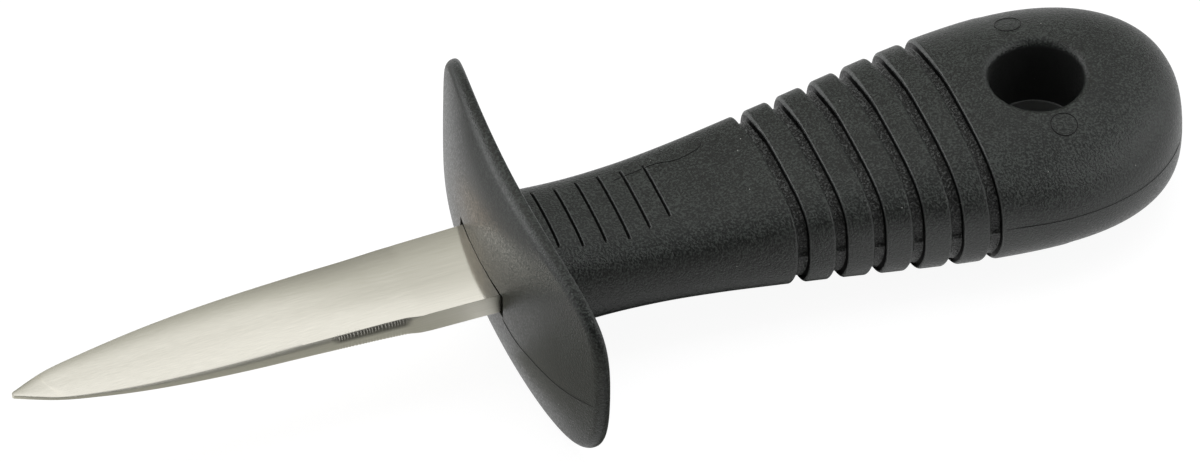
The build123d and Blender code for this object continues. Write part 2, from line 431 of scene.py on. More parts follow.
def makeGuard():
    size = guardSizes
    outline = []
    for u, v in ovalLoop(size["pointsPerQuarter"], size["fullness"]):
        outline.append(Vector((u * guardHalfLength, v * guardHalfHeight)))
    columns = len(outline)
    inward = []
    for k in range(columns):
        tangent = outline[(k + 1) % columns] - outline[k - 1]
        inward.append(Vector((-tangent.y, tangent.x)).normalized())
    front, rear, thickness = size["frontRound"], size["rearRound"], size["thickness"]
    rim = []  # how far in from the outline, and how far behind the front
    for step in range(size["frontSteps"] + 1):
        angle = math.pi / 2 * step / size["frontSteps"]
        rim.append((front * (1 - math.sin(angle)), front * (1 - math.cos(angle))))
    for step in range(size["rearSteps"] + 1):
        angle = math.pi / 2 * (1 - step / size["rearSteps"])
        rim.append((rear * (1 - math.sin(angle)), thickness - rear * (1 - math.cos(angle))))
    rows = [(share, front, 0.0) for share in size["ringShares"]]
    rows += [(1.0, inset, shift) for inset, shift in rim]
    rows += [(share, rear, thickness) for share in reversed(size["ringShares"])]
    points = []
    for share, inset, shift in rows:
        for k in range(columns):
            flat = (outline[k] + inward[k] * inset) * share
            points.append((guardFront(flat.x, flat.y) + shift, flat.x, flat.y + guardMiddleZ))
    points += [(guardFront(0, 0) + shift, 0, guardMiddleZ) for shift in (0, thickness)]
    return makeObject("guard", points, tubeFaces(len(rows), columns) + poleFaces(len(rows), columns))


def makeHoleCutter():  # a lathe form whose mouths flare to meet the handle's curved faces
    size = hangHole
    columns = size["points"]
    lastAngle = math.radians(size["roundAngle"])
    profile = [(0.0, size["wallTop"])]  # outwards from the wall, and above the handle's face
    for step in range(size["roundSteps"] + 1):
        angle = lastAngle * step / size["roundSteps"]
        profile.append((size["round"] * (1 - math.cos(angle)), size["round"] * (math.sin(angle) - 1)))
    outward, lift = profile[-1]
    outward += size["mouthRun"] * math.sin(lastAngle)
    profile += [(outward, lift + size["mouthRun"] * math.cos(lastAngle)), (outward, size["cutterTop"])]
    stepped = [(outward - size["step"] if lift < 0 else outward, lift) for outward, lift in profile]
    rows = [(-1, row) for row in reversed(stepped)]
    rows += [(0, (-size["step"], 0)), (0, (0, 0))] + [(1, row) for row in profile]
    reach = size["radius"] + size["round"]
    points = []
    for side, (outward, lift) in rows:
        for c in range(columns):
            angle = 2 * math.pi * c / columns
            surface = topHeight(reach * math.cos(angle), reach * math.sin(angle))
            spread = size["radius"] + outward
            height = side * (surface + lift) if side else size["stepHeight"]
            points.append((spread * math.cos(angle), spread * math.sin(angle), height))
    return makeObject("holeCutter", points, tubeFaces(len(rows), columns) + endFaces(len(rows), columns))


def makeBox(name, low, high):
    corners = [(x, y, z) for x in (low[0], high[0]) for y in (low[1], high[1]) for z in (low[2], high[2])]
    faces = [(0, 1, 3, 2), (4, 6, 7, 5), (0, 4, 5, 1), (2, 3, 7, 6), (0, 2, 6, 4), (1, 5, 7, 3)]
    return makeObject(name, corners, faces)


def makeHandle():
    handle = makeBody()
    combine(handle, makeGuard(), "UNION")
    combine(handle, makeHoleCutter(), "DIFFERENCE")
    halfWidth = bladeWidth / 2 + bladeSlot["sideClearance"]
    halfThickness = bladeThickness / 2 + bladeSlot["clearance"]
    low = (guardX - bladeSlot["overrun"], -halfWidth, bladeMiddleZ - halfThickness)
    high = (guardX + bladeSlot["depth"], halfWidth, bladeMiddleZ + halfThickness)
    combine(handle, makeBox("slotCutter", low, high), "DIFFERENCE")
    smoothBelow(handle, handleSizes["sharpAngle"])
    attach(handle, "root")
    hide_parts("handle")
    print("handle moulded:", len(handle.data.polygons), "faces")
    return handle


moulding = {  # the marks that the mould leaves, in millimetres
    "lineHeight": 0.06,
    "lineSink": 0.02,
    "lineWidth": 0.2,
    "lineTopShare": 0.3,
    "fadePoints": 6,
    "fadeStart": 0.2,
    "guardLinePoints": 60,
    "insertLinePoints": 90,
    "ringPoints": 48,
    "guardLine": [(-7.6, -0.9), (-10.9, -1.9), (-16.2, -1.8), (-20.8, -1.5), (-25.0, -0.6), (-28.3, 0.5)],
    "insertLine": [
        (-57.6, 4.3), (-55.8, 4.7), (-53.6, 5.1), (-51.4, 5.4), (-48.7, 5.0),
        (-46.5, 5.4), (-45.2, 5.9), (-44.6, 6.6), (-44.7, 7.6),
    ],
    "pinRings": [(0.1, -9.5, 1.75), (0.4, 11.1, 1.75)],  # X, Y and radius
    "buttLine": (-11.0, 17.5),
    "buttLineHeight": 0.8,
    "buttLineWidth": 0.09,
    "buttLineStep": 0.4,
    "outside": 40.0,  # a mark is laid on the surface from this far out
}


def smoothLine(controls, count):  # a smooth curve through listed points
    rows = [(k, *point) for k, point in enumerate(controls)]
    last = len(controls) - 1
    line = []
    for k in range(count + 1):
        along = min(last * k / count, last - nearZero * mm)
        line.append(tuple(smoothShare(rows, along, column) for column in range(1, len(rows[0]))))
    return line


def makeWitness(name, surface, path, direction, width):  # a thin raised line where the path meets the surface
    size = moulding
    found = []
    for point in path:
        place, normal = surface.ray_cast(Vector(point) * mm, Vector(direction))[:2]
        if place is not None:
            found.append((place / mm, normal))
    last = len(found) - 1
    points, faces = [], []
    for k, (place, normal) in enumerate(found):
        ahead = found[min(k + 1, last)][0] - found[max(k - 1, 0)][0]
        side = normal.cross(ahead).normalized() * width / 2
        fade = min(1.0, size["fadeStart"] + min(k, last - k) / size["fadePoints"])
        top = place + normal * size["lineHeight"] * fade
        foot = place - normal * size["lineSink"]
        topSide = side * size["lineTopShare"]
        points += [foot - side, top - topSide, top + topSide, foot + side]
    for k in range(last):
        for c in range(3):
            faces.append((4 * k + c, 4 * k + c + 1, 4 * k + c + 5, 4 * k + c + 4))
    line = makeObject(name, points, faces)
    line.data.shade_smooth()
    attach(line, "root")
    return line


def makeWitnesses(handle):
    size = moulding
    surface = BVHTree.FromObject(handle, bpy.context.evaluated_depsgraph_get())
    outside, width = size["outside"], size["lineWidth"]
    forward, down = (1, 0, 0), (0, 0, -1)
    path = [(guardX - outside, y, z) for y, z in smoothLine(size["guardLine"], size["guardLinePoints"])]
    made = [makeWitness("partingLineGuardNear", surface, path, forward, width)]
    path = [(x, y, outside) for x, y in smoothLine(size["insertLine"], size["insertLinePoints"])]
    made.append(makeWitness("insertOutline", surface, path, down, width))
    for k, (x, y, radius) in enumerate(size["pinRings"]):
        angles = [2 * math.pi * step / size["ringPoints"] for step in range(size["ringPoints"] + 1)]
        path = [(x + radius * math.cos(angle), y + radius * math.sin(angle), outside) for angle in angles]
        made.append(makeWitness(f"ejectorMark{k + 1}", surface, path, down, width))
    start, end = size["buttLine"]
    count = round((end - start) / size["buttLineStep"])
    places = [start + (end - start) * k / count for k in range(count + 1)]
    for name, side in (("Near", 1), ("Far", -1)):
        path = [(x, -outside * side, size["buttLineHeight"]) for x in places]
        made.append(makeWitness(f"partingLineButt{name}", surface, path, (0, side, 0), size["buttLineWidth"]))
    print("mould marks:", len(made))
    return made


bladeSizes = {  # millimetres, degrees and counts; places are counted from the grind's start to the tip
    "rootDepth": 3.0,  # how far the blade is drawn inside the guard
    "ricassoLength": 10.0,
    "ricassoCrown": 0.16,
    "ricassoRunOut": 0.9,
    "faceCrown": 0.3,
    "facePoints": 28,
    "crownPower": 2.8,  # above 2 the middle of the face stays flatter than its edges
    "faceTilt": 0.032,  # how steeply the ground face falls towards its near edge
    "faceTiltEase": (2.0, 22.0),
    "faceTiltEnd": 6.0,  # before the tip
    "bevelWidth": 0.5,
    "bevelStarts": (2.6, 14.0),  # near and far edge
    "bevelFirstShare": 0.06,
    "bevelAngle": 18,
    "bevelPoints": 6,
    "sideBandShare": 0.97,  # the flat side band where the bevel starts
    "edgeBreak": 0.03,
    "stationStep": 0.35,
    "chatterStep": 0.07,
    "chatterPitch": 0.42,
    "chatterWander": 1.3,  # how unevenly the grinding wheel chattered
    "chatterWanderRate": 1.7,
    "chatterDepth": 0.02,
    "chatterSpan": (1.5, 12.5),
    "chatterFade": 1.2,
    "tipSetBack": 0.9,
    "tipLength": 3.0,
    "tipStep": 0.12,
    "tipStations": (0.3, 0.15, 0.0),
    "tipBlunt": 0.55,
    "tipDroop": 0.45,
    "tipDroopPower": 1.3,
    "belly": 0.38,  # how much deeper the ground part's underside is
    "bellyEase": (6.0, 24.0),
    "sharpAngle": 14,
}

# Ground part of the blade, in even steps from the ricasso to the tip: width, edge thickness, crown and
# bevel as shares of the full ones, and the flat side band as a share of the edge.
groundShares = [
    (1.000, 0.965, 0.72, 0.85, 0.46),
    (0.975, 0.905, 0.76, 0.90, 0.42),
    (0.950, 0.835, 0.82, 0.92, 0.39),
    (0.922, 0.76, 0.78, 0.95, 0.37),
    (0.898, 0.68, 0.70, 1.00, 0.36),
    (0.862, 0.59, 0.60, 1.00, 0.35),
    (0.806, 0.49, 0.50, 1.00, 0.34),
    (0.720, 0.38, 0.42, 0.93, 0.33),
    (0.585, 0.27, 0.32, 0.76, 0.33),
    (0.395, 0.17, 0.20, 0.52, 0.34),
    (0.045, 0.06, 0.05, 0.12, 0.40),
]
farTrims = [  # millimetres in front of the guard, and how much narrower the far half is there
    (0, 0.35), (9, 0.7), (16, 0.62), (23, 0.38), (36, 0.55),
    (44, 0.75), (50, 0.95), (57, 0.95), (62, 0.5), (70, 0.0),
]


def bevelCorner(half, bevel, edgeZ, bandZ, ripple):  # rounded, from the face down to the side's band
    count = bladeSizes["bevelPoints"]
    first = math.radians(bladeSizes["bevelAngle"])
    points = []
    for k in range(1, count):
        angle = first + (math.pi / 2 - first) * k / count
        reach = (math.sin(angle) - math.sin(first)) / (1 - math.sin(first))
        drop = 1 - math.cos(angle) / math.cos(first)
        points.append((half - bevel + bevel * reach - ripple, edgeZ + (bandZ - edgeZ) * drop - ripple))
    return points + [(half, bandZ)]


def bladeSection(half, edge, crown, near, far, ripple, tilt):  # near, far: a bevel's width, its band's height
    count = bladeSizes["facePoints"]
    edgeZ = edge / 2
    tilt *= half
    upper = []
    for k in range(count + 1):
        share = 2 * k / count - 1
        width = half - (near[0] if share < 0 else far[0])
        rise = crown * (1 - abs(share) ** bladeSizes["crownPower"])
        upper.append((width * share, edgeZ + rise + tilt * share))
    farCorner = bevelCorner(half, far[0], edgeZ + tilt, far[1] / 2, 0.0)
    nearCorner = bevelCorner(half, near[0], edgeZ - tilt, near[1] / 2, ripple)
    loop = upper + farCorner + [(half, 0.0)] + [(y, -z) for y, z in reversed(farCorner)]
    loop += [(y, -z) for y, z in reversed(upper)]
    loop += [(-y, -z) for y, z in nearCorner] + [(-half, 0.0)] + [(-y, z) for y, z in reversed(nearCorner)]
    return loop


def groundStations(grindX, tipX):
    size = bladeSizes
    first, last = size["chatterSpan"]
    stations = []
    place = grindX
    while place > tipX + size["tipStations"][0]:
        stations.append(place)
        if place < tipX + size["tipLength"]:
            place -= size["tipStep"]
        elif first < grindX - place < last:
            place -= size["chatterStep"]
        else:
            place -= size["stationStep"]
    return stations + [tipX + offset for offset in size["tipStations"]]


def groundSection(x, grindX, tipX, thickness):  # what bladeSection takes at x, and how much chatter shows
    size = bladeSizes
    steps = len(groundShares) - 1
    table = [(k / steps, *row) for k, row in enumerate(groundShares)]
    along = (x - grindX) / (tipX - grindX)
    width, edge, crown, bevel, band = (smoothShare(table, along, column) for column in range(1, 6))
    edge *= thickness
    behind = grindX - x
    first, last = size["chatterSpan"]
    fade = min(1.0, max(0.0, min(behind - first, last - behind) / size["chatterFade"]))
    wander = size["chatterWander"] * math.sin(behind * size["chatterWanderRate"])
    wave = math.sin(2 * math.pi * behind / size["chatterPitch"] + wander)
    ripple = size["chatterDepth"] * fade * wave * bevel
    blunt = 1.0 if x > tipX else size["tipBlunt"]
    sides = []
    for start in size["bevelStarts"]:
        grown = size["bevelFirstShare"] + (1 - size["bevelFirstShare"]) * easeShare(behind, 0.0, start)
        share = band + (size["sideBandShare"] - band) * (1 - grown)
        sides.append((bevel * grown * size["bevelWidth"] * blunt, share * edge * blunt))
    tilt = size["faceTilt"] * easeShare(behind, *size["faceTiltEase"])
    tilt *= easeShare(x - tipX, 0.0, size["faceTiltEnd"])
    half = width * bladeWidth / 2 * blunt
    return (half, edge * blunt, crown * size["faceCrown"], *sides, ripple, tilt), fade


def makeBlade():
    size = bladeSizes
    grindX = guardX - size["ricassoLength"]
    tipX = bladeLow.x / mm + size["tipSetBack"]
    half = bladeWidth / 2
    thickness = bladeThickness - 2 * size["ricassoCrown"]
    broken = (size["edgeBreak"], thickness - 2 * size["edgeBreak"])
    square = (half, thickness, size["ricassoCrown"], broken, broken, 0.0, 0.0)
    rows = [(x, square, 0.0) for x in (guardX + size["rootDepth"], guardX, grindX + size["ricassoRunOut"])]
    rows += [(x, *groundSection(x, grindX, tipX, thickness)) for x in groundStations(grindX, tipX)]
    points, shares = [], []
    for x, section, fade in rows:
        loop = bladeSection(*section)
        droop = size["tipDroop"] * max(0.0, (x - grindX) / (tipX - grindX)) ** size["tipDroopPower"]
        narrow = 1 - smoothShare(farTrims, max(0.0, guardX - x), 1) / half
        belly = size["belly"] * easeShare(grindX - x, *size["bellyEase"]) / (section[1] / 2)
        for y, z in loop:
            z *= 1 + belly if z < 0 else 1
            points.append((x, y * narrow if y > 0 else y, z + bladeMiddleZ - droop))
        corner = size["bevelPoints"]  # the near upper bevel comes last in the loop
        shares += [0.0] * (len(loop) - corner) + [fade] * corner
    faces = tubeFaces(len(rows), len(loop)) + endFaces(len(rows), len(loop))
    blade = makeObject("bladeGround", points, faces)
    addShares(blade, "chatterShare", shares)
    smoothBelow(blade, size["sharpAngle"])
    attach(blade, "root")
    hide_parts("blade")
    print("blade ground:", len(blade.data.polygons), "faces")
    return blade


def colour(hexValue):  # sRGB hex to linear, with alpha
    channels = [int(hexValue[i : i + 2], 16) / 255 for i in (1, 3, 5)]
    return (*(c / 12.92 if c <= 0.04045 else ((c + 0.055) / 1.055) ** 2.4 for c in channels), 1.0)


def addNode(tree, kind, settings=None, inputs=()):  # inputs by name or in order: values, nodes, sockets
    node = tree.nodes.new("ShaderNode" + kind)
    for key, value in (settings or {}).items():
        setattr(node, key, value)
    if not isinstance(inputs, dict):
        inputs = dict(zip([k for k, socket in enumerate(node.inputs) if socket.enabled], inputs))
    for key, value in inputs.items():
        if isinstance(value, bpy.types.Node):
            value = next(socket for socket in value.outputs if socket.enabled)
        if isinstance(value, bpy.types.NodeSocket):
            tree.links.new(value, node.inputs[key])
        else:
            node.inputs[key].default_value = value
    return node


def newMaterial(name):
    material = bpy.data.materials.new(name)
    material.use_nodes = True
    material.node_tree.nodes.clear()
    return material, material.node_tree


def dress(obj, material):
    obj.data.materials.clear()
    obj.data.materials.append(material)


# what the sums in the materials do
times, plus, minus = {"operation": "MULTIPLY"}, {"operation": "ADD"}, {"operation": "SUBTRACT"}
below, above, larger = {"operation": "LESS_THAN"}, {"operation": "GREATER_THAN"}, {"operation": "MAXIMUM"}
absolute, vectorLength = {"operation": "ABSOLUTE"}, {"operation": "LENGTH"}
colours = {"data_type": "RGBA"}

plasticLook = {
    "name": "blackPolypropyleneSparkGrain",
    "base": "#121513",
    "mottle": "#343935",
    "mottleRange": (0.5, 0.62),
    "mottleGrain": 0.9,
    "mottleCoarse": 0.15,
    "coarseSize": 7.0,
    "roughness": 0.40,
    "glossVariation": 0.12,
    "glossRange": (0.35, 0.65),
    "specular": 0.5,
    "ior": 1.49,
    "grainSize": 0.30,  # millimetres between the pits, drawn a little coarse
    "grainHeight": 0.13,
    "guardGrainHeight": 0.025,
    "guardGrainReach": (1.0, 4.0),  # behind the neck's start the grain grows to its full height
    "grooveGrainHeight": 0.3,
    # painted sparkle: the grooves' floors are painted paler, with pale specks on their coarser grain
    "grooveFloorPaintedLight": "#1c1d1c",
    "grooveFloorPaintedSparkle": "#565856",
    # painted shade: the grooves' walls are painted near black; the mould's joint lines take the same dark as
    # their own colour
    "wallShadeAndJointColour": "#070707",
    "shadedWallSpecular": 0.15,
    # painted highlight on the ridges' edges that face the guard and on the thumb grooves' lips
    "edgeHighlightColour": "#6c6e6d",
    "edgeHighlightShare": 0.35,
    "edgeLean": -0.25,
    "lipHighlightShare": 0.45,
    "thumbZone": (9.0, 10.5, -70.0),  # half its width, its top, and the X of its end
    # painted light in the hang hole: its wall is painted paler than the plastic, and its lower half paler
    # still, as if lit from the floor below
    "upperBorePaintedLight": "#2d2e2d",
    "lowerBorePaintedLight": "#6c6d6c",
    "boreMargin": 0.08,
    "dustSpacing": 1.1,
    "dustSize": 0.075,
    "dustShare": 0.05,
    "dustColour": "#a9a9a4",
}
witnessLook = {  # the mould's joints leave the plastic smooth and dark
    **plasticLook,
    "name": "blackPolypropyleneSmoothWitness",
    "base": plasticLook["wallShadeAndJointColour"],
    "mottle": plasticLook["wallShadeAndJointColour"],
    "roughness": 0.3,
    "glossVariation": 0.0,
    "specular": 0.22,
    "grainHeight": 0.0,
    "guardGrainHeight": 0.0,
}


def makePlastic(look):  # moulded polypropylene: black satin, with pits that sparkle where it is grained
    material, tree = newMaterial(look["name"])
    place = addNode(tree, "TexCoord").outputs["Object"]
    spot = addNode(tree, "SeparateXYZ", {}, [place]).outputs
    normal = addNode(tree, "NewGeometry").outputs["True Normal"]
    lean = addNode(tree, "SeparateXYZ", {}, [normal]).outputs

    # The attribute tells the grooves' edge, wall and floor apart. It counts off the guard, which has none.
    halfZone, zoneTop, zoneEnd = (value * mm for value in look["thumbZone"])
    inWidth = addNode(tree, "Math", below, [addNode(tree, "Math", absolute, [spot["Y"]]), halfZone])
    onThumb = addNode(tree, "Math", times, [inWidth, addNode(tree, "Math", below, [spot["Z"], zoneTop])])
    onGrip = addNode(tree, "Math", above, [spot["X"], zoneEnd])
    offGuard = addNode(tree, "Math", larger, [onThumb, onGrip])
    share = addNode(tree, "Attribute", {"attribute_name": "grooveShare"}).outputs["Fac"]
    share = addNode(tree, "Math", times, [share, offGuard])
    pastEdge = addNode(tree, "Math", above, [share, grooveMarks["edge"]])
    beforeWall = addNode(tree, "Math", below, [share, grooveMarks["wall"]])
    pastWall = addNode(tree, "Math", above, [share, grooveMarks["wall"]])
    beforeFloor = addNode(tree, "Math", below, [share, grooveMarks["floor"]])
    onFloor = addNode(tree, "Math", above, [share, grooveMarks["floor"]])
    onWall = addNode(tree, "Math", times, [pastWall, beforeFloor])
    offWall = addNode(tree, "Math", minus, [1.0, onWall])
    # painted highlight: ridge edges that face the guard, and the thumb grooves' lips, are painted pale
    facing = addNode(tree, "Math", below, [lean["X"], look["edgeLean"]])
    onEdge = addNode(tree, "Math", times, [addNode(tree, "Math", times, [pastEdge, beforeWall]), facing])
    onEdge = addNode(tree, "Math", times, [onEdge, look["edgeHighlightShare"]])
    onLip = addNode(tree, "Math", below, [share, grooveMarks["thumbLipLimit"]])
    onLip = addNode(tree, "Math", times, [onLip, look["lipHighlightShare"]])
    paintedEdgeHighlight = addNode(tree, "Math", larger, [onEdge, onLip])
    inPlan = addNode(tree, "VectorMath", times, [place, (1, 1, 0)])
    fromBore = addNode(tree, "VectorMath", vectorLength, [inPlan])
    outside = addNode(tree, "Math", above, [fromBore, (hangHole["radius"] + look["boreMargin"]) * mm])
    lowBore = addNode(tree, "Math", below, [spot["Z"], hangHole["stepHeight"] * mm])

    # The grain is strongest on the grooves' floors, faint on the guard, and gone from the walls and the bore.
    grain = addNode(
        tree,
        "TexNoise",
        {},
        {"Vector": place, "Scale": 1 / (look["grainSize"] * mm), "Detail": 2.0, "Roughness": 0.6},
    )
    coarseScale = 1 / (look["coarseSize"] * mm)
    coarse = addNode(tree, "TexNoise", {}, {"Vector": place, "Scale": coarseScale, "Detail": 4.0})
    start, end = ((neckX + reach) * mm for reach in look["guardGrainReach"])
    onNeck = addNode(tree, "MapRange", {}, [spot["X"], start, end])
    growth = (look["grainHeight"] - look["guardGrainHeight"]) * mm
    extra = (look["grooveGrainHeight"] - look["grainHeight"]) * mm
    height = addNode(tree, "Math", times, [onNeck, growth])
    height = addNode(tree, "Math", plus, [height, look["guardGrainHeight"] * mm])
    height = addNode(tree, "Math", plus, [addNode(tree, "Math", times, [onFloor, extra]), height])
    height = addNode(tree, "Math", times, [height, offWall])
    height = addNode(tree, "Math", times, [height, outside])
    bump = addNode(tree, "Bump", {}, {"Strength": 1.0, "Height": grain, "Distance": height})

    fine = addNode(tree, "Math", times, [grain, look["mottleGrain"]])
    broad = addNode(tree, "Math", times, [coarse, look["mottleCoarse"]])
    speckle = addNode(tree, "Math", plus, [fine, broad])
    spread = addNode(tree, "MapRange", {}, [speckle, *look["mottleRange"]])
    floorSpread = addNode(tree, "MapRange", {}, [grain, *look["mottleRange"]])
    skin = addNode(tree, "Mix", colours, [spread, colour(look["base"]), colour(look["mottle"])])
    # painted sparkle: the grooves' floors are painted paler, with pale specks that follow the grain
    floorSparkleColours = colour(look["grooveFloorPaintedLight"]), colour(look["grooveFloorPaintedSparkle"])
    floor = addNode(tree, "Mix", colours, [floorSpread, *floorSparkleColours])
    skin = addNode(tree, "Mix", colours, [onFloor, skin, floor])
    # painted shade: the grooves' walls are painted near black
    skin = addNode(tree, "Mix", colours, [onWall, skin, colour(look["wallShadeAndJointColour"])])
    skin = addNode(tree, "Mix", colours, [paintedEdgeHighlight, skin, colour(look["edgeHighlightColour"])])
    # painted light: the hole's wall is paler than the plastic, its lower half paler still, as if lit from
    # below
    bore = addNode(tree, "Mix", colours, [lowBore, colour(look["upperBorePaintedLight"]), colour(look["lowerBorePaintedLight"])])
    skin = addNode(tree, "Mix", colours, [outside, bore, skin])

    dust = addNode(tree, "TexVoronoi", {}, {"Vector": place, "Scale": 1 / (look["dustSpacing"] * mm)}).outputs
    nearSpeck = addNode(tree, "Math", below, [dust["Distance"], look["dustSize"] / look["dustSpacing"]])
    draw = addNode(tree, "SeparateColor", {}, [dust["Color"]])
    drawn = addNode(tree, "Math", below, [draw, look["dustShare"]])
    speck = addNode(tree, "Math", times, [nearSpeck, drawn])
    skin = addNode(tree, "Mix", colours, [speck, skin, colour(look["dustColour"])])

    smoothest, roughest = (look["roughness"] + side * look["glossVariation"] for side in (-1, 1))
    satin = addNode(tree, "MapRange", {}, [grain, *look["glossRange"], smoothest, roughest])
    # painted shade: the walls' gloss is dimmed as well
    dimmed = addNode(tree, "Math", times, [onWall, look["shadedWallSpecular"] - look["specular"]])
    specular = addNode(tree, "Math", plus, [dimmed, look["specular"]])
    shader = addNode(
        tree,
        "BsdfPrincipled",
        {},
        {
            "Base Color": skin,
            "Roughness": satin,
            "IOR": look["ior"],
            "Specular IOR Level": specular,
            "Normal": bump,
        },
    )
    addNode(tree, "OutputMaterial", {}, {"Surface": shader})
    return material


steelLook = {
    "name": "stainlessSteelLengthGround",
    "base": "#f2efe4",
    "streak": "#e6e3d7",
    "streakRange": (0.3, 0.7),
    # the chattered bevel is painted darker: partly the marks' own dull look, partly painted shade
    "chatterAndShade": "#8f8d86",
    "roughness": 0.12,
    "sideRoughness": 0.42,
    "sideLean": 0.95,
    "anisotropic": 0.95,
    "scratchSpacing": 0.08,  # millimetres, a little coarser than the real grit so that it shows
    "scratchHeight": 0.0012,
    "scratchStretch": 0.012,
}


def makeSteel(look):  # stainless ground along the blade: satin, with highlights drawn out across the grain
    material, tree = newMaterial(look["name"])
    place = addNode(tree, "TexCoord").outputs["Object"]
    stretched = addNode(tree, "Mapping", {}, {"Vector": place, "Scale": (look["scratchStretch"], 1.0, 1.0)})
    spacing = look["scratchSpacing"] * mm
    lines = addNode(
        tree, "TexNoise", {}, {"Vector": stretched, "Scale": 1 / spacing, "Detail": 3.0, "Roughness": 0.65}
    )
    scratch = look["scratchHeight"] * mm
    bump = addNode(tree, "Bump", {}, {"Strength": 1.0, "Distance": scratch, "Height": lines})
    tangent = addNode(tree, "Tangent", {"direction_type": "RADIAL", "axis": "X"})
    normal = addNode(tree, "NewGeometry").outputs["True Normal"]
    lean = addNode(tree, "SeparateXYZ", {}, [normal]).outputs
    offFace = addNode(tree, "Math", below, [addNode(tree, "Math", absolute, [lean["Z"]]), look["sideLean"]])
    dull = addNode(tree, "Math", times, [offFace, look["sideRoughness"] - look["roughness"]])
    streaks = addNode(tree, "MapRange", {}, [lines, *look["streakRange"]])
    ground = addNode(tree, "Mix", colours, [streaks, colour(look["streak"]), colour(look["base"])])
    # partly the chatter marks' own dull look, partly painted shade
    chattered = addNode(tree, "Attribute", {"attribute_name": "chatterShare"}).outputs["Fac"]
    chatterAndShade = addNode(tree, "Math", times, [offFace, chattered])
    shader = addNode(
        tree,
        "BsdfPrincipled",
        {},
        {
            "Metallic": 1.0,
            "Anisotropic": look["anisotropic"],
            "Roughness": addNode(tree, "Math", plus, [dull, look["roughness"]]),
            "Base Color": addNode(tree, "Mix", colours, [chatterAndShade, ground, colour(look["chatterAndShade"])]),
            "Normal": bump,
            "Tangent": tangent,
        },
    )
    addNode(tree, "OutputMaterial", {}, {"Surface": shader})
    return material


plastic = makePlastic(plasticLook)
witnessPlastic = makePlastic(witnessLook)
steel = makeSteel(steelLook)
handle = makeHandle()
dress(handle, plastic)
for mark in makeWitnesses(handle):
    dress(mark, witnessPlastic)
dress(makeBlade(), steel)
print("materials on")


stageSizes = {  # metres
    "floorHalf": 3.0,
    "floorGap": 0.05,  # millimetres under the knife
    "buttFootX": 4.0,  # millimetres, where the butt touches the floor
    "paper": "#f2f2f0",
    "seenPaper": "#6e6e6e",
    "seenLift": 0.93,
    "roomColour": "#f1f3f5",
    "roomStrength": 0.62,
}


def addSeenRays(tree):  # 1 for rays from the camera and for those that metal or a gloss sends back
    paths = addNode(tree, "LightPath").outputs
    seen = addNode(tree, "Math", larger, [paths["Is Camera Ray"], paths["Is Glossy Ray"]])
    return addNode(tree, "Math", larger, [seen, paths["Is Transmission Ray"]])


def floorHeight(x):  # millimetres; the knife lies on the butt and on the guard's lower edge
    buttFootZ = -handleSizes["gripHeight"] / 2
    guardFootX = guardFront(0, -guardHalfHeight) + guardSizes["thickness"] / 2
    guardFootZ = handleLow.z / mm
    slope = (buttFootZ - guardFootZ) / (stageSizes["buttFootX"] - guardFootX)
    return guardFootZ + slope * (x - guardFootX) - stageSizes["floorGap"]


def makeFloor():
    half = stageSizes["floorHalf"] / mm
    points = [(x, y, floorHeight(x)) for x in (-half, half) for y in (-half, half)]
    floor = makeObject("floor", points, [(0, 2, 3, 1)])
    material, tree = newMaterial("whitePaperSweep")  # seen straight on, matt paper that is lit to white
    paper = addNode(tree, "BsdfDiffuse", {}, {"Color": colour(stageSizes["paper"])})
    seenPaper = addNode(tree, "BsdfDiffuse", {}, {"Color": colour(stageSizes["seenPaper"])})
    lift = addNode(tree, "Emission", {}, {"Strength": stageSizes["seenLift"]})
    shown = addNode(tree, "AddShader", {}, [seenPaper, lift])
    both = addNode(tree, "MixShader", {}, [addSeenRays(tree), paper, shown])
    addNode(tree, "OutputMaterial", {}, {"Surface": both})
    dress(floor, material)


def makeWorld():
    world = bpy.data.worlds.new("studio")
    bpy.context.scene.world = world
    world.use_nodes = True
    tree = world.node_tree
    tree.nodes.clear()
    roomColour = colour(stageSizes["roomColour"])
    room = addNode(tree, "Background", {}, {"Color": roomColour, "Strength": stageSizes["roomStrength"]})
    white = addNode(tree, "Background", {}, {"Color": colour("#ffffff"), "Strength": 1.0})
    both = addNode(tree, "MixShader", {}, [addSeenRays(tree), room, white])
    addNode(tree, "OutputWorld", {}, {"Surface": both})


softbox = {"place": (0.0, 0.35, 1.1), "middle": (-0.05736, 0, 0), "width": 1.4, "depth": 1.0, "power": 9.0}

# Studio cards that only reflections see, apart from the dark curtain, which shades the room's light too:
# name, place in metres, what the card faces, width, height, shades from its foot to its top, strength.
curtainShades = [(0.0, "#0c0c0c"), (0.45, "#0e0e0e"), (0.8, "#2a2a2a"), (1.0, "#4a4a4a")]
bevelShades = [(0.0, "#6e6e69"), (0.45, "#6e6e69"), (0.62, "#ffffff"), (1.0, "#ffffff")]
roofShades = [(0.0, "#4a4a4a"), (0.45, "#747474"), (0.8, "#c4c4c4"), (1.0, "#ffffff")]
flagShades = [(0.0, "#7c7c78"), (0.42, "#82827d"), (0.58, "#a8a8a2"), (0.74, "#c8c8c2"), (0.84, "#ffffff")]
cards = [
    ("darkCurtain", (-0.37, -0.3, 0.286), "across", 0.93, 0.6, curtainShades, 1.0),
    ("bevelCard", (-0.165, -0.296, 0.35), "across", 0.27, 0.44, bevelShades, 1.0),
    ("shadedRoof", (-0.2, -0.02, 0.586), "up", 1.4, 0.56, roofShades, 1.0),
    ("rightWindow", (0.39, -0.25, 0.38), "middle", 0.5, 0.34, "#ffffff", 2.4),
    ("leftWindow", (-0.62, 0.6, 0.33), "middle", 0.4, 0.42, "#ffffff", 4.0),
    ("greyFlag", (0.375, 1.2, 0.865), "across", 2.25, 1.75, flagShades, 1.0),
    ("guardWindow", (-0.35, 1.18, 1.3), "across", 0.4, 0.6, "#fff0dc", 1.5),
]
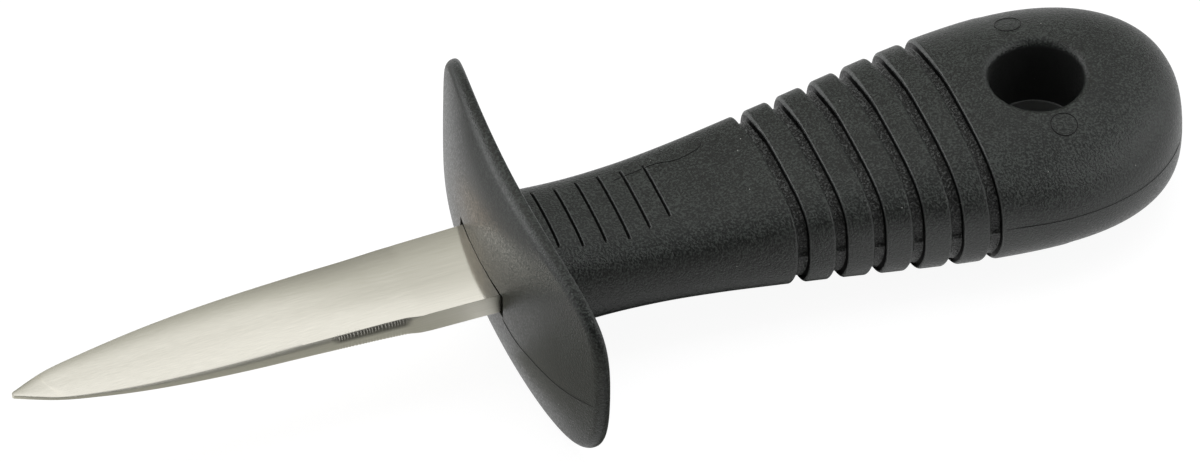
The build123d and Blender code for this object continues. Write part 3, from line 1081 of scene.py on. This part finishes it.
floorCards = [  # name, then X, Y, width and depth in millimetres, shade, strength
    # a dark card under the handle: a painted shadow that only reflections see
    ("underHandleShadowCard", -30, 0, 78, 24, "#0a0a0a", 1.0),
    ("handleFlag", -53, -160, 38, 280, "#8a8a86", 1.0),
    ("bladeFlag", -141, -150, 126, 290, "#b8b8b0", 1.0),
    ("guardFlag", -120, 105, 90, 90, "#a4a4a0", 1.0),
    ("bladeGlow", -106, 20, 40, 28, "#fff0dc", 1.7),
]
cardLift = 0.4  # millimetres of a floor card above the floor


def addSoftbox():
    lamp = bpy.data.lights.new("overheadSoftbox", "AREA")
    lamp.shape = "RECTANGLE"
    lamp.size, lamp.size_y = softbox["width"], softbox["depth"]
    lamp.energy = softbox["power"]
    holder = bpy.data.objects.new("overheadSoftbox", lamp)
    holder.location = softbox["place"]
    holder.rotation_mode = "QUATERNION"
    toMiddle = Vector(softbox["middle"]) - Vector(softbox["place"])
    holder.rotation_quaternion = toMiddle.to_track_quat("-Z", "Y")
    holder.visible_camera = False
    holder.visible_glossy = False
    bpy.context.scene.collection.objects.link(holder)


def paintCard(name, shades, strength):  # a card's own light, so that its shades hold whatever lights the room
    if isinstance(shades, str):
        shades = [(0.0, shades), (1.0, shades)]
    material, tree = newMaterial(name + "Paint")
    where = addNode(tree, "TexCoord").outputs["Generated"]
    upwards = addNode(tree, "SeparateXYZ", {}, [where]).outputs["Y"]
    ramp = addNode(tree, "ValToRGB", {}, [upwards])
    elements = ramp.color_ramp.elements
    while len(elements) < len(shades):
        elements.new(0.5)
    for element, (share, hexValue) in zip(elements, shades):
        element.position = share
        element.color = colour(hexValue)
    paint = addNode(tree, "Emission", {}, {"Color": ramp, "Strength": strength})
    addNode(tree, "OutputMaterial", {}, {"Surface": paint})
    return material


def addCard(name, place, facing, width, height, shades, strength):
    half, tall = width / 2 / mm, height / 2 / mm
    corners = [(-half, -tall, 0), (half, -tall, 0), (half, tall, 0), (-half, tall, 0)]
    card = makeObject(name, corners, [(0, 1, 2, 3)])
    card.rotation_mode = "QUATERNION"
    card.location = place
    if facing == "up":  # lying flat, with the floor's slope
        upright = Vector((floorHeight(0) - floorHeight(1), 0, 1))
        card.rotation_quaternion = upright.rotation_difference((0, 0, 1)).inverted()
    else:
        target = softbox["middle"] if facing == "middle" else (place[0], 0, place[2])
        card.rotation_quaternion = (Vector(target) - Vector(place)).to_track_quat("-Z", "Y")
    card.visible_camera = False
    card.visible_shadow = False
    card.visible_diffuse = name == "darkCurtain"
    dress(card, paintCard(name, shades, strength))


def makeLights():
    addSoftbox()
    for row in cards:
        addCard(*row)
    for name, x, y, width, depth, shade, strength in floorCards:
        place = Vector((x, y, floorHeight(x) + cardLift)) * mm
        addCard(name, place, "up", width * mm, depth * mm, shade, strength)


view = {  # metres and degrees
    "distance": 1.5345,
    "azimuth": -20.26,
    "elevation": 44.62,
    "roll": -0.41,
    "aim": (-0.05736, 0, 0),
    "aimRight": -26.86,  # pixels of the photograph between its centre and the aimed point
    "aimUp": 4.44,
    "focalPixels": 11765.7,
    "pictureWidth": 1200,
    "sensorWidth": 36.0,
    "clips": (0.05, 20),
}


def makeCamera():
    azimuth, elevation, roll = (math.radians(view[key]) for key in ("azimuth", "elevation", "roll"))
    levelRight = Vector((math.cos(azimuth), math.sin(azimuth), 0))
    levelBack = Vector((math.sin(azimuth), -math.cos(azimuth), 0))
    back = levelBack * math.cos(elevation) + Vector((0, 0, math.sin(elevation)))
    levelUp = back.cross(levelRight)
    right = levelRight * math.cos(roll) + levelUp * math.sin(roll)
    up = levelUp * math.cos(roll) - levelRight * math.sin(roll)
    eye = Vector(view["aim"]) + back * view["distance"]
    look = (-back * view["focalPixels"] + right * view["aimRight"] + up * view["aimUp"]).normalized()
    side = look.cross(up).normalized()
    top = side.cross(look)
    camera = bpy.data.cameras.new("camera")
    camera.sensor_width = view["sensorWidth"]
    camera.lens = view["sensorWidth"] * view["focalPixels"] / view["pictureWidth"]
    camera.clip_start, camera.clip_end = view["clips"]
    holder = bpy.data.objects.new("camera", camera)
    turn = Matrix((side, top, -look)).transposed().to_4x4()
    holder.matrix_world = Matrix.Translation(eye) @ turn
    bpy.context.scene.collection.objects.link(holder)
    bpy.context.scene.camera = holder


makeFloor()
makeWorld()
makeLights()
makeCamera()
bpy.context.scene.view_settings.view_transform = "Standard"
print("floor, light and camera set")
